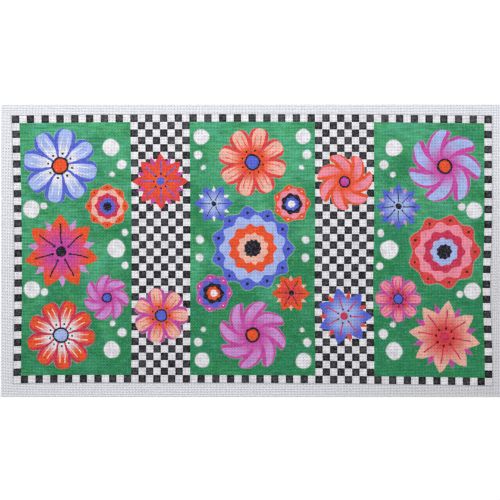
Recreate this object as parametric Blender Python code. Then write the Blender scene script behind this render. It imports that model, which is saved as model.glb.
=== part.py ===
"""A needlepoint canvas panel: one plainly cut length of painted mono canvas, lying flat.

The canvas lies on the XY plane with its painted face up. X runs along its long side and Y up the
design. The origin is in the middle of the underside, on the surface that the canvas lies on.
"""

import bpy

# Driving sizes. Mono canvas is sold by its mesh, the threads to the inch. This one is an 18 mesh,
# whose upright threads lie a little closer than the level ones.
INCH = 0.0254
UPRIGHT_THREADS = 338
UPRIGHT_THREADS_PER_INCH = 18.07
LEVEL_THREADS = 195
LEVEL_THREADS_PER_INCH = 17.78
THICKNESS = 0.0010

# What follows from them, in metres: the straight-cut outline.
WIDTH = UPRIGHT_THREADS / UPRIGHT_THREADS_PER_INCH * INCH
HEIGHT = LEVEL_THREADS / LEVEL_THREADS_PER_INCH * INCH

# Finish of the sized and painted cotton.
PAINTED_COTTON = (0.42, 0.47, 0.44, 1.0)
COTTON_ROUGHNESS = 0.85


def clear_scene():
    for item in list(bpy.data.objects):
        bpy.data.objects.remove(item, do_unlink=True)


def cotton_material():
    """Matt cotton thread, stiffened with starch and covered with flat paint."""
    material = bpy.data.materials.new("painted_cotton")
    material.use_nodes = True
    shader = material.node_tree.nodes["Principled BSDF"]
    shader.inputs["Base Color"].default_value = PAINTED_COTTON
    shader.inputs["Roughness"].default_value = COTTON_ROUGHNESS
    shader.inputs["Metallic"].default_value = 0.0
    return material


def add_canvas(collection, material):
    """The one piece of cloth: a rectangle cut along the threads, as thick as two crossed threads."""
    outline = bpy.data.curves.new("canvas", "CURVE")
    outline.dimensions = "2D"
    outline.fill_mode = "BOTH"
    outline.extrude = THICKNESS / 2

    cut_edge = outline.splines.new("POLY")
    corner_signs = [(-1, -1), (1, -1), (1, 1), (-1, 1)]
    cut_edge.points.add(len(corner_signs) - 1)
    for point, (side, end) in zip(cut_edge.points, corner_signs):
        point.co = (side * WIDTH / 2, end * HEIGHT / 2, 0.0, 1.0)
    cut_edge.use_cyclic_u = True

    canvas = bpy.data.objects.new("canvas", outline)
    canvas.location = (0.0, 0.0, THICKNESS / 2)
    outline.materials.append(material)
    collection.objects.link(canvas)
    return canvas


def build():
    clear_scene()
    collection = bpy.data.collections.new("needlepoint_canvas_panel")
    bpy.context.scene.collection.children.link(collection)
    add_canvas(collection, cotton_material())


build()
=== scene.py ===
import math

import bmesh
import bpy
import numpy as np
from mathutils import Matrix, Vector


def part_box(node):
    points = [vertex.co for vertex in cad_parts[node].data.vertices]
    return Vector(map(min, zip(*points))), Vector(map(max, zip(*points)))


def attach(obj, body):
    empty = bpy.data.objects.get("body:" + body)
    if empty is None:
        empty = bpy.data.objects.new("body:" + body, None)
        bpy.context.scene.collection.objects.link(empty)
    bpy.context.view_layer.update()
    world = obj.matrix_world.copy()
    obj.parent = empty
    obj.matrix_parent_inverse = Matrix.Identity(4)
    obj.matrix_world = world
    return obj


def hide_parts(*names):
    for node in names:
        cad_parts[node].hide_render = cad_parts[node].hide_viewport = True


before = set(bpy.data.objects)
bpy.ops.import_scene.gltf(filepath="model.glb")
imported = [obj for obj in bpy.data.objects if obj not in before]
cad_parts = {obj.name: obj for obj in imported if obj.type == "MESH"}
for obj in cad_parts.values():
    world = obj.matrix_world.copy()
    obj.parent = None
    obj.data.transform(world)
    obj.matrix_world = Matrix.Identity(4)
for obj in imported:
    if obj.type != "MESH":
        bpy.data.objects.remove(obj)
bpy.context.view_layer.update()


# The upright threads: white cotton, stretched on the loom and stiffened with starch. The loom lifts
# every second one at a time, so they are made as two sheds, the even and the odd threads, each
# bending over and under the level threads in turn. They are cut off plainly at both ends.
canvas_low, canvas_high = (Vector(corner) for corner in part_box("canvas"))
canvas_size = canvas_high - canvas_low
UPRIGHT_THREADS = 338
LEVEL_THREADS = 195
pitch_across = canvas_size.x / UPRIGHT_THREADS
pitch_up = canvas_size.y / LEVEL_THREADS

# These are in threads: 1 is the way from one thread to the next. Paint makes a thread thicker.
LEFT_MARGIN = 8
RIGHT_MARGIN = 5
TOP_MARGIN = 7
BOTTOM_MARGIN = 8
BARE_HALF_WIDTH = 0.36
PAINTED_HALF_WIDTH = 0.405
WANDER = 0.035
WANDER_REACH = 9
THICK_AND_THIN_REACH = 12

# A thread's thickness in metres, its share of unevenness, and its rise or dip at each crossing.
THREAD_THICKNESS = 0.00044
THICK_AND_THIN = 0.07
CRIMP = 0.00021


def slow_random(seed, rows, steps, reach):
    """For each row, a run of random values of about -2 to 2 that change slowly, over reach steps."""
    window = np.hanning(2 * reach + 3)[1:-1]
    window /= np.linalg.norm(window)
    values = np.random.default_rng(seed).normal(size=(rows, steps + 2 * reach))
    return np.stack([np.convolve(row, window, "valid") for row in values])


def pull(across, up):
    """How far the canvas is pulled out of square at these threads, in metres. The painted area has
    an arched top, sides bowed inwards and a low right corner. The cut edges stay straight."""
    right = np.clip(across / UPRIGHT_THREADS, 0, 1)
    down = 1 - np.clip(up / LEVEL_THREADS, 0, 1)

    # Each bow is in millimetres, along one side of the painted area.
    pinch = np.exp(-(((down - 0.63) / 0.14) ** 2))
    left_bow = -0.9 + 1.6 * down + 2.1 * np.sin(math.pi * down)
    right_bow = -1.0 + 0.6 * down - 2.0 * pinch
    top_bow = -1.7 + 1.6 * np.sin(math.pi * right)
    bottom_bow = 0.3 + 1.9 * (1 - np.exp(-right / 0.05)) - 3.3 * right**3

    # A bow dies away over its margin, and towards the other side.
    from_left = np.clip(across / LEFT_MARGIN, 0, 1)
    from_right = np.clip((UPRIGHT_THREADS - across) / RIGHT_MARGIN, 0, 1)
    from_bottom = np.clip(up / BOTTOM_MARGIN, 0, 1)
    from_top = np.clip((LEVEL_THREADS - up) / TOP_MARGIN, 0, 1)
    sideways = left_bow * from_left * (1 - right) ** 2 + right_bow * from_right * right**2
    upwards = top_bow * from_top * (1 - down) + bottom_bow * from_bottom * down
    millimetre = 0.001
    return sideways * millimetre, upwards * millimetre


ROD_STEP = 10.0


def straight_rods(name, rings, rows):
    """A row of three-sided rods, ROD_STEP apart, with a ring of corners at each unit of height."""
    bm = bmesh.new()
    bmesh.ops.create_circle(bm, cap_ends=True, segments=3, radius=1)
    bmesh.ops.spin(
        bm,
        geom=bm.verts[:] + bm.edges[:] + bm.faces[:],
        cent=(0, 0, 0),
        axis=(0, 0, 1),
        dvec=(0, 0, 1),
        angle=0,
        steps=rings - 1,
        use_duplicate=False,
    )
    bmesh.ops.recalc_face_normals(bm, faces=bm.faces)
    mesh = bpy.data.meshes.new(name)
    bm.to_mesh(mesh)
    bm.free()
    rods = bpy.data.objects.new(name, mesh)
    bpy.context.scene.collection.objects.link(rods)
    side_by_side = rods.modifiers.new("side_by_side", "ARRAY")
    side_by_side.use_relative_offset = False
    side_by_side.use_constant_offset = True
    side_by_side.constant_offset_displace = (ROD_STEP, 0, 0)
    side_by_side.count = rows
    evaluated = rods.evaluated_get(bpy.context.evaluated_depsgraph_get())
    rods.data = bpy.data.meshes.new_from_object(evaluated)
    rods.modifiers.clear()
    return rods


def unroll(mesh, part_along, part_across, sideways, upwards, rows):
    """The map of the paint. Each thread is a strip of it, with its two top sides next to each
    other and its underside apart from them."""
    corner = np.empty(len(mesh.loops), np.int32)
    mesh.loops.foreach_get("vertex_index", corner)
    face_start = np.empty(len(mesh.polygons), np.int32)
    mesh.polygons.foreach_get("loop_start", face_start)
    corners = np.diff(np.append(face_start, len(corner)))
    on_top = np.repeat(np.maximum.reduceat(upwards[corner], face_start) > 0, corners)
    top_side = 0.35 + 0.33 * sideways
    underside = 0.85 + 0.12 * sideways
    strip = np.where(on_top, top_side[corner], underside[corner])
    unrolled = np.stack([part_along[corner], part_across[corner] + strip / rows], axis=1)
    paint_map = mesh.uv_layers.new(name="OFBake")
    paint_map.uv.foreach_set("vector", unrolled.astype(np.float32).ravel())


def make_threads(name, upright, first, seed):
    """Every second upright or level thread, starting with number first."""
    crossings = LEVEL_THREADS if upright else UPRIGHT_THREADS
    beside = UPRIGHT_THREADS if upright else LEVEL_THREADS
    rows = len(range(first, beside, 2))
    rings = crossings + 2
    threads = straight_rods(name, rings, rows)
    mesh = threads.data

    # Where each corner is on its rod: from -1 to 1 sideways, and from -0.5 to 0.5 upwards.
    built = np.empty(3 * len(mesh.vertices), np.float32)
    mesh.vertices.foreach_get("co", built)
    built = built.reshape(-1, 3)
    row = np.rint(built[:, 0] / ROD_STEP).astype(int)
    ring = np.rint(built[:, 2]).astype(int)
    sideways = (built[:, 0] - ROD_STEP * row) / math.sin(math.pi / 3)
    upwards = (built[:, 1] + 0.5) / 1.5 - 0.5

    # The rods become threads, which go over one crossing and under the next.
    thread = first + 2 * row
    is_end = (ring == 0) | (ring == rings - 1)
    along = np.clip(ring - 0.5, 0, crossings)
    over = np.where((thread + ring + upright) % 2 == 0, 1, -1) * ~is_end
    drift = slow_random(seed, rows, rings, WANDER_REACH)
    jump = slow_random(seed + 1, rows, rings, 1)
    swell = slow_random(seed + 2, rows, rings, THICK_AND_THIN_REACH)
    slub = slow_random(seed + 3, rows, rings, 1)
    wander = WANDER * (0.6 * drift + 0.4 * jump)[row, ring]
    fatness = 1 + THICK_AND_THIN * (0.5 * swell + 0.5 * slub)[row, ring]
    middle = thread + 0.5
    across, up = (middle, along) if upright else (along, middle)
    is_painted = (across > LEFT_MARGIN) & (across < UPRIGHT_THREADS - RIGHT_MARGIN)
    is_painted &= (up > BOTTOM_MARGIN) & (up < LEVEL_THREADS - TOP_MARGIN)
    half_width = np.where(is_painted, PAINTED_HALF_WIDTH, BARE_HALF_WIDTH) * fatness
    turned = -1 if upright else 1  # keeps the faces pointing outwards
    place_beside = middle + wander + turned * half_width * sideways
    across, up = (place_beside, along) if upright else (along, place_beside)
    pulled_right, pulled_up = pull(across, up)
    height = CRIMP * over + THREAD_THICKNESS * upwards * fatness
    place = np.stack(
        [
            canvas_low.x + across * pitch_across + pulled_right,
            canvas_low.y + up * pitch_up + pulled_up,
            (canvas_low.z + canvas_high.z) / 2 + height,
        ],
        axis=1,
    )
    mesh.vertices.foreach_set("co", place.astype(np.float32).ravel())

    # The paint follows the threads, so each corner keeps its place in threads.
    count = mesh.attributes.new("thread_count", "FLOAT_VECTOR", "POINT")
    counted = np.stack([across, up, np.zeros(len(across))], axis=1)
    count.data.foreach_set("vector", counted.astype(np.float32).ravel())
    unroll(mesh, along / crossings, row / rows, sideways, upwards, rows)
    mesh.update()
    mesh.shade_smooth()
    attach(threads, "root")
    return threads


upright_even = make_threads("upright_threads_even", upright=True, first=0, seed=10)
upright_odd = make_threads("upright_threads_odd", upright=True, first=1, seed=20)


# The level threads: the same cotton, shot through the open sheds from side to side. Every second
# one passes over the even upright threads, and the others over the odd ones, which is plain weave.
level_even = make_threads("level_threads_even", upright=False, first=0, seed=30)
level_odd = make_threads("level_threads_odd", upright=False, first=1, seed=40)
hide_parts("canvas")


# The ground: flat acrylic brushed on by hand over the stiffened canvas, which is left bare round it.
# The painter drew a pencil line first, then the squares, five threads to each, and then the green.
canvas_paint = bpy.data.materials.new("canvas_paint")
canvas_paint.use_nodes = True
paint_tree = canvas_paint.node_tree
paint_shader = paint_tree.nodes["Principled BSDF"]


class Wire:
    """A socket of a material. A sum written with wires adds its Math nodes."""

    def __init__(self, socket):
        self.socket = socket

    def node(self, kind, settings, sockets, out=0):
        """Adds a node, sets it up, and feeds its sockets with values or wires."""
        tree = self.socket.id_data
        added = tree.nodes.new(kind)
        for name, value in settings.items():
            setattr(added, name, value)
        for name, value in sockets.items():
            if isinstance(value, Wire):
                tree.links.new(value.socket, added.inputs[name])
            else:
                added.inputs[name].default_value = value
        return Wire(added.outputs[out])

    def math(self, operation, *others):
        sockets = dict(enumerate((self, *others)))
        return self.node("ShaderNodeMath", {"operation": operation}, sockets)

    def vector(self, operation, *others, out=0):
        sockets = dict(enumerate((self, *others)))
        return self.node("ShaderNodeVectorMath", {"operation": operation}, sockets, out)

    def mix(self, below, above):
        """The colour above where this is 1, and below where it is 0."""
        sockets = {0: self, 6: below, 7: above}
        return self.node("ShaderNodeMix", {"data_type": "RGBA"}, sockets, out=2)

    def ramp(self, start, end):
        """0 up to start, 1 from end, and soft between."""
        sockets = {"Value": self, "From Min": start, "From Max": end}
        return self.node("ShaderNodeMapRange", {"interpolation_type": "SMOOTHSTEP"}, sockets)

    def noise(self, size, detail=2.0, out=0):
        """Random values that change over about this size."""
        sockets = {"Vector": self, "Scale": 1 / size, "Detail": detail}
        return self.node("ShaderNodeTexNoise", {}, sockets, out)

    def random(self):
        """A random value, 0 to 1, for each whole step."""
        step = self.vector("FLOOR")
        return step.node("ShaderNodeTexWhiteNoise", {}, {"Vector": step})

    def axes(self):
        split = self.node("ShaderNodeSeparateXYZ", {}, {0: self})
        return [Wire(axis) for axis in split.socket.node.outputs]

    def __add__(self, other):
        return self.math("ADD", other)

    def __sub__(self, other):
        return self.math("SUBTRACT", other)

    def __rsub__(self, other):
        return self.node("ShaderNodeMath", {"operation": "SUBTRACT"}, {0: other, 1: self})

    def __mul__(self, other):
        return self.math("MULTIPLY", other)

    def __truediv__(self, other):
        return self.math("DIVIDE", other)

    def __pow__(self, other):
        return self.math("POWER", other)

    def __mod__(self, other):
        return self.math("MODULO", other)

    def __lt__(self, other):
        return self.math("LESS_THAN", other)

    def __gt__(self, other):
        return self.math("GREATER_THAN", other)

    def __or__(self, other):
        """Either of two masks, or the larger of two values."""
        return self.math("MAXIMUM", other)

    def __abs__(self):
        return self.math("ABSOLUTE")

    __radd__ = __add__
    __rmul__ = __mul__


def tone(red, green, blue):
    """A colour of paint or cotton, from its red, green and blue in good light, 0 to 255."""
    gives_back = 0.92
    return (*(gives_back * (value / 255) ** 2.2 for value in (red, green, blue)), 1.0)


# Places in the painting are in squares, from its bottom left corner.
SQUARE_THREADS = 5
SQUARES_ACROSS = 65
SQUARES_UP = 36
counts = paint_tree.nodes.new("ShaderNodeAttribute")
counts.attribute_name = "thread_count"
painting = Wire(counts.outputs["Vector"]).vector("SUBTRACT", (LEFT_MARGIN, BOTTOM_MARGIN, 0))
painting = painting.vector("DIVIDE", (SQUARE_THREADS, SQUARE_THREADS, 1))

# The green is brushed from side to side, thinner in patches and towards the top left. It was mixed
# by hand, so it strays a little towards blue or yellow.
GREEN_THIN = tone(84, 180, 132)
GREEN = tone(44, 142, 92)
GREEN_THICK = tone(34, 120, 74)
YELLOWER = (1, 1, 0.86, 1)
BLUER = (1, 1, 1.14, 1)
PATCH_SIZE = 4.5
STREAK_SIZE = 0.25
TINT_SIZE = 3.0
square_x, square_y, _ = painting.axes()
thickness = painting.noise(PATCH_SIZE, detail=4.0) + square_x * (0.08 / SQUARES_ACROSS)
thickness = thickness - square_y * (0.3 / SQUARES_UP)
colour = thickness.ramp(0.15, 0.55).mix(GREEN_THIN, GREEN)
drawn_out = painting.vector("MULTIPLY", (0.1, 1, 1))
streaks = drawn_out.noise(STREAK_SIZE, detail=1.5).ramp(0.42, 0.72)
colour = (streaks * 0.6).mix(colour, GREEN_THICK)
tint = painting.noise(TINT_SIZE).ramp(0.32, 0.68).mix(YELLOWER, BLUER)
colour = colour.vector("MULTIPLY", tint)

# The squares make a border one square wide, and two bands eight wide that part the green. Each
# black one got its own brushful, thin and mottled in the middle and thick round the edge.
WHITE = tone(233, 232, 236)
BLACK = tone(14, 13, 18)
BLACK_THIN = tone(90, 89, 95)
BAND_FROM_MIDDLE = 12.5
BAND_HALF_WIDTH = 4.0
MOTTLE_SIZE = 0.4
from_middle = abs(square_x - SQUARES_ACROSS / 2)
from_centre = abs(square_y - SQUARES_UP / 2)
outside = (from_middle - SQUARES_ACROSS / 2) | (from_centre - SQUARES_UP / 2)
in_band = abs(from_middle - BAND_FROM_MIDDLE) < BAND_HALF_WIDTH
in_border = outside > -1
is_black = (square_x.math("FLOOR") + square_y.math("FLOOR")) % 2
near_edge = abs(square_x.math("FRACT") - 0.5) | abs(square_y.math("FRACT") - 0.5)
brushful = painting.noise(MOTTLE_SIZE) * 2 + painting.random() * 0.5
brushful = brushful + near_edge.ramp(0.2, 0.5) * 0.6 - square_y * (0.2 / SQUARES_UP)
black = brushful.ramp(0.38, 1.88).mix(BLACK_THIN, BLACK)
colour = (in_band | in_border).mix(colour, is_black.mix(WHITE, black))


# The blooms: brushed on free-hand over the ground, in plain colours that run into each other along
# the petals, with a fine brush for the veins and dots. All the petals of a bloom are alike.
ORANGE = tone(236, 86, 38)
CORAL = tone(224, 70, 68)
CRIMSON = tone(208, 52, 88)
MAGENTA = tone(204, 74, 168)
BLUE = tone(88, 104, 212)
PALE_BLUE = tone(172, 190, 236)
PEACH = tone(238, 184, 168)
PINK = tone(238, 146, 166)
LILAC = tone(208, 150, 212)
INK = tone(32, 28, 42)

# The brushes leave a seam round each bloom, where the cotton shows through a little.
UNPAINTED = tone(190, 210, 200)
BARE_SEAM = 0.35

# A hand wavers, so outlines stray from true by about a thread.
waver = painting.noise(1.6, detail=3.0, out=1).vector("SUBTRACT", (0.5, 0.5, 0.5))
freehand = waver.vector("MULTIPLY", (0.45, 0.45, 0)).vector("ADD", painting)


class Bloom:
    """A bloom's own measures, all 1 at its tips: how far from its middle, and how far along and
    across the nearest petal, or the nearest gap if between is set."""

    def __init__(self, place, reach, petals, turn=0.0, swirl=0.0):
        away = freehand.vector("SUBTRACT", (*place, 0)).vector("DIVIDE", (reach, reach, 1))
        aside, above, _ = away.axes()
        self.far = away.vector("LENGTH", out=1)
        angle = above.math("ARCTAN2", aside) + turn
        if swirl:
            angle = angle + self.far * swirl
        self.half_turn = math.pi / petals
        self.off = angle.math("PINGPONG", self.half_turn)

    def lines(self, between=False):
        off = self.half_turn - self.off if between else self.off
        return self.far * off.math("COSINE"), self.far * off.math("SINE")

    def petal(self, along, across, first, last, half_width, slim, blunt):
        """1 along the middle of a petal, 0 on its outline, less outside it. slim narrows its foot
        and blunt its tip."""
        part = ((along - first) / (last - first)).math("MAXIMUM", 0).math("MINIMUM", 1)
        widest = slim / (slim + blunt)
        peak = widest**slim * (1 - widest) ** blunt
        outline = part**slim * (1 - part) ** blunt * (half_width / peak)
        fine = 0.001  # keeps the sum below 0 past the tips, where the outline has no width
        return 1 - (across + 2 * fine) / outline.math("MAXIMUM", fine)


def dots(along, across, middle, radius):
    """A dot on every petal."""
    return (along - middle) ** 2 + across**2 < radius**2


def strokes(along, across, first, last, aside, half_width=0.013):
    """A fine line on each side of every petal's middle, or one down the middle if aside is 0."""
    off_line = abs(across - aside) if aside else across
    return (off_line < half_width) * (along > first) * (along < last)


def daisy(place, reach, petals, outer, inner, foot, eye, turn=0.0):
    """Round-ended petals with a rim and two fine lines each, round an eye with a ring."""
    bloom = Bloom(place, reach, petals, turn)
    along, across = bloom.lines()
    width = 0.74 * math.sin(bloom.half_turn)
    leaf = bloom.petal(along, across, 0.1, 1.0, width, 0.9, 0.35)
    painted = ((leaf > -0.1) * BARE_SEAM).mix(colour, UNPAINTED)
    petal = (leaf > 0.34).mix(outer, along.ramp(0.3, 0.7).mix(foot, inner))
    petal = strokes(along, across, 0.3, 0.8, 0.3 * width).mix(petal, foot)
    painted = (leaf > 0).mix(painted, petal)
    painted = (bloom.far < 0.24).mix(painted, INK)
    painted = (bloom.far < 0.185).mix(painted, eye)
    return dots(along, across, 0.33, 0.03).mix(painted, INK)


def star(place, reach, petals, outer, inner, vein, behind, turn=0.0):
    """Pointed petals with a vein each, over sepals whose tips show in the gaps."""
    bloom = Bloom(place, reach, petals, turn)
    width = 0.66 * math.sin(bloom.half_turn)
    back = bloom.petal(*bloom.lines(between=True), 0.05, 0.95, 0.7 * width, 0.5, 1.3)
    along, across = bloom.lines()
    leaf = bloom.petal(along, across, 0.0, 1.0, width, 0.6, 0.9)
    painted = ((back > -0.15) * BARE_SEAM).mix(colour, UNPAINTED)
    painted = (back > 0).mix(painted, behind)
    painted = (leaf > 0).mix(painted, along.ramp(0.2, 0.8).mix(inner, outer))
    painted = strokes(along, across, 0.2, 0.74, 0, 0.02).mix(painted, vein)
    painted = (bloom.far < 0.14).mix(painted, vein)
    return dots(along, across, 0.24, 0.035).mix(painted, INK)


RING_EDGES = (0.94, 0.76, 0.56, 0.36, 0.2)


def rosette(place, reach, scallops, rings):
    """Rings inside each other, with scalloped edges that face outwards and inwards in turn."""
    bloom = Bloom(place, reach, scallops)
    wave = (bloom.off * scallops).math("COSINE") * 0.07
    outwards = bloom.far * (1 - wave)
    inwards = bloom.far * (1 + wave)
    painted = ((outwards < 0.97) * BARE_SEAM).mix(colour, UNPAINTED)
    for edge, far, ring in zip(RING_EDGES, (outwards, inwards) * 3, rings):
        painted = (far < edge).mix(painted, ring)
    return dots(*bloom.lines(), 0.86, 0.035).mix(painted, rings[-1])


def windmill(place, reach, petals, outer, inner, eye, swirl=1.1):
    """Curved petals with a rim, swept round like sails, round an eye with a ring."""
    bloom = Bloom(place, reach, petals, swirl=swirl)
    along, across = bloom.lines()
    width = 0.7 * math.sin(bloom.half_turn)
    leaf = bloom.petal(along, across, 0.08, 1.0, width, 0.8, 0.4)
    painted = ((leaf > -0.1) * BARE_SEAM).mix(colour, UNPAINTED)
    petal = (leaf > 0.4).mix(outer, along.ramp(0.2, 0.7).mix(outer, inner))
    painted = (leaf > 0).mix(painted, petal)
    painted = (bloom.far < 0.22).mix(painted, INK)
    return (bloom.far < 0.16).mix(painted, eye)


colour = daisy((6.4, 29.2), 5.0, 8, BLUE, PALE_BLUE, WHITE, ORANGE, turn=0.2)
colour = rosette((12.7, 23.7), 2.9, 8, (ORANGE, PEACH, CRIMSON, BLUE, INK))
colour = star((6.4, 17.6), 5.1, 7, ORANGE, MAGENTA, INK, LILAC, turn=0.2)
colour = windmill((12.6, 11.4), 3.1, 7, MAGENTA, LILAC, BLUE)
colour = daisy((6.4, 6.4), 4.6, 9, CRIMSON, ORANGE, WHITE, PALE_BLUE, turn=0.1)

colour = windmill((58.6, 29.2), 4.9, 7, MAGENTA, PALE_BLUE, ORANGE)
colour = star((52.3, 23.7), 3.1, 8, BLUE, PALE_BLUE, INK, LILAC)
colour = rosette((58.6, 17.8), 4.9, 9, (CORAL, PINK, CRIMSON, PALE_BLUE, INK))
colour = daisy((52.4, 11.4), 3.1, 8, MAGENTA, PINK, CRIMSON, BLUE)
colour = star((58.6, 6.4), 4.9, 8, PEACH, CORAL, CRIMSON, MAGENTA, turn=0.15)

colour = rosette((32.5, 18.0), 5.6, 11, (BLUE, PALE_BLUE, ORANGE, PEACH, INK))
colour = daisy((32.5, 29.6), 4.6, 8, CORAL, PEACH, ORANGE, BLUE, turn=0.26)
colour = windmill((32.5, 6.4), 4.6, 8, MAGENTA, LILAC, ORANGE)
colour = star((27.2, 24.0), 2.6, 6, BLUE, PALE_BLUE, INK, WHITE)
colour = star((37.8, 12.0), 2.6, 6, ORANGE, CORAL, INK, PEACH)
colour = rosette((37.8, 24.0), 2.5, 7, (ORANGE, PINK, INK, BLUE, WHITE))
colour = rosette((27.2, 12.0), 2.5, 7, (MAGENTA, BLUE, INK, ORANGE, WHITE))

colour = star((20.0, 27.0), 3.8, 8, CORAL, ORANGE, BLUE, MAGENTA)
colour = daisy((20.0, 9.0), 3.7, 7, MAGENTA, PEACH, ORANGE, BLUE)
colour = windmill((45.0, 27.0), 3.8, 7, ORANGE, PINK, MAGENTA, swirl=-1.1)
colour = star((45.0, 9.0), 3.8, 7, BLUE, PALE_BLUE, CRIMSON, CORAL)


# The white spots: dabbed on the green round the blooms with a round brush, alike to the left and
# right of the middle, and above and below it. A row gives a spot's ways out from the middle and up
# from it, and its radius.
SPOT_SEAM = 0.12
loose_x, loose_y, _ = freehand.axes()
loose_from_middle = abs(loose_x - SQUARES_ACROSS / 2)
loose_from_centre = abs(loose_y - SQUARES_UP / 2)
for way_out, way_up, radius in (
    (19.2, 13.6, 1.1),
    (17.8, 11.3, 0.6),
    (19.1, 10.0, 0.35),
    (18.6, 0.0, 1.2),
    (17.4, 2.2, 0.45),
    (30.1, 5.4, 1.1),
    (28.4, 5.8, 0.45),
    (6.9, 15.0, 1.0),
    (7.4, 12.6, 0.55),
    (6.7, 10.9, 0.3),
    (7.2, 1.2, 0.5),
):
    nearness = (loose_from_middle - way_out) ** 2 + (loose_from_centre - way_up) ** 2
    colour = ((nearness < (radius + SPOT_SEAM) ** 2) * BARE_SEAM).mix(colour, UNPAINTED)
    colour = (nearness < radius**2).mix(colour, WHITE)

# Every colour is a little darker where the brush left it thicker.
MARK_SIZE = 0.9
THICKER = (0.78, 0.76, 0.78)
marks = freehand.noise(MARK_SIZE, detail=4.0).ramp(0.4, 0.66)
colour = (marks * 0.65).mix(colour, colour.vector("MULTIPLY", THICKER))

# The bare margins, with the thin pencil line that the painter drew round the squares. Painted shade
# makes the cotton a little greyer towards the lower right.
BARE_COTTON = tone(227, 228, 233)
SHADED_COTTON = tone(216, 216, 221)
PENCIL = tone(170, 170, 180)
LINE_OUT = 0.05
LINE_HALF_WIDTH = 0.045
painted_shade = (square_x / SQUARES_ACROSS).ramp(0.5, 1.0) * (1 - (square_y / SQUARES_UP).ramp(0.3, 0.9))
cotton_with_shade = painted_shade.mix(BARE_COTTON, SHADED_COTTON)
on_line = abs(outside - LINE_OUT) < LINE_HALF_WIDTH
colour = (outside > 0).mix(colour, on_line.mix(cotton_with_shade, PENCIL))

# The cotton shows a little where the paint is thin, and underneath, where only some soaks through.
SOAKED_THROUGH = 0.2
THIN_SPOT_SIZE = 0.3
normal = painting.node("ShaderNodeNewGeometry", {}, {}, out=3)
on_face = normal.axes()[2] > 0
thin = painting.noise(THIN_SPOT_SIZE).ramp(0.5, 0.8) * 0.14
cover = on_face * (1 - thin - SOAKED_THROUGH) + SOAKED_THROUGH
# Where the cotton shows, it keeps its painted shade towards the lower right.
colour = cover.mix(cotton_with_shade, colour)

# Dry cotton is matt, and the paint is a little smoother. Both are rough to the touch.
GRAIN_SIZE = 0.12
COTTON_ROUGHNESS = 0.92
grain = painting.noise(GRAIN_SIZE)
is_painted = (outside < 0) * on_face
roughness = COTTON_ROUGHNESS - is_painted * (grain * 0.3 + 0.1)
bump = grain.node("ShaderNodeBump", {}, {"Strength": 0.5, "Distance": 0.0001, "Height": grain})
for wire, name in ((colour, "Base Color"), (roughness, "Roughness"), (bump, "Normal")):
    paint_tree.links.new(wire.socket, paint_shader.inputs[name])
paint_shader.inputs["Specular IOR Level"].default_value = 0.2
for shed in (upright_even, upright_odd, level_even, level_odd):
    shed.data.materials.append(canvas_paint)


# The floor: a plain white table top, wide enough for every view. The stiff canvas stands just clear
# of it, and so little light gets in under the threads that the holes between them look dark.
FLOOR_REACH = 3
LIFT = 0.0002
bm = bmesh.new()
bmesh.ops.create_grid(bm, x_segments=1, y_segments=1, size=FLOOR_REACH)
bmesh.ops.translate(bm, vec=(0, 0, canvas_low.z - LIFT), verts=bm.verts)
mesh = bpy.data.meshes.new("floor")
bm.to_mesh(mesh)
bm.free()
floor = bpy.data.objects.new("floor", mesh)
bpy.context.scene.collection.objects.link(floor)
floor_paint = bpy.data.materials.new("floor_paint")
floor_paint.use_nodes = True
floor_shader = floor_paint.node_tree.nodes["Principled BSDF"]
floor_shader.inputs["Base Color"].default_value = (0.97, 0.97, 0.97, 1)
floor_shader.inputs["Roughness"].default_value = 0.9
mesh.materials.append(floor_paint)


# The light: one large soft lamp above and beyond the canvas, a little to the left, turned to its
# middle, and soft white light from all round. The canvas is lit least at its near right corner.
studio = bpy.context.scene
studio.view_settings.view_transform = "Standard"
studio.world = bpy.data.worlds.new("studio")
studio.world.use_nodes = True
all_round = studio.world.node_tree.nodes["Background"]
all_round.inputs["Color"].default_value = (1, 1, 1, 1)
all_round.inputs["Strength"].default_value = 0.65
lamp = bpy.data.lights.new("lamp", "AREA")
lamp.size = 1.0
lamp.energy = 9.4
lamp_stand = bpy.data.objects.new("lamp", lamp)
lamp_stand.location = (-0.1, 0.55, 0.55)
lamp_stand.rotation_euler = lamp_stand.location.to_track_quat("Z", "Y").to_euler()
studio.collection.objects.link(lamp_stand)

# The camera: straight above the canvas, which is a little off the middle of the picture.
CAMERA_HEIGHT = 1.2
PICTURE_WIDTH = 0.4758
camera_lens = bpy.data.cameras.new("camera")
camera_lens.sensor_width = 36
camera_lens.lens = camera_lens.sensor_width * CAMERA_HEIGHT / PICTURE_WIDTH
camera = bpy.data.objects.new("camera", camera_lens)
camera.location = (-0.00033, 0.00014, CAMERA_HEIGHT)
studio.collection.objects.link(camera)
studio.camera = camera
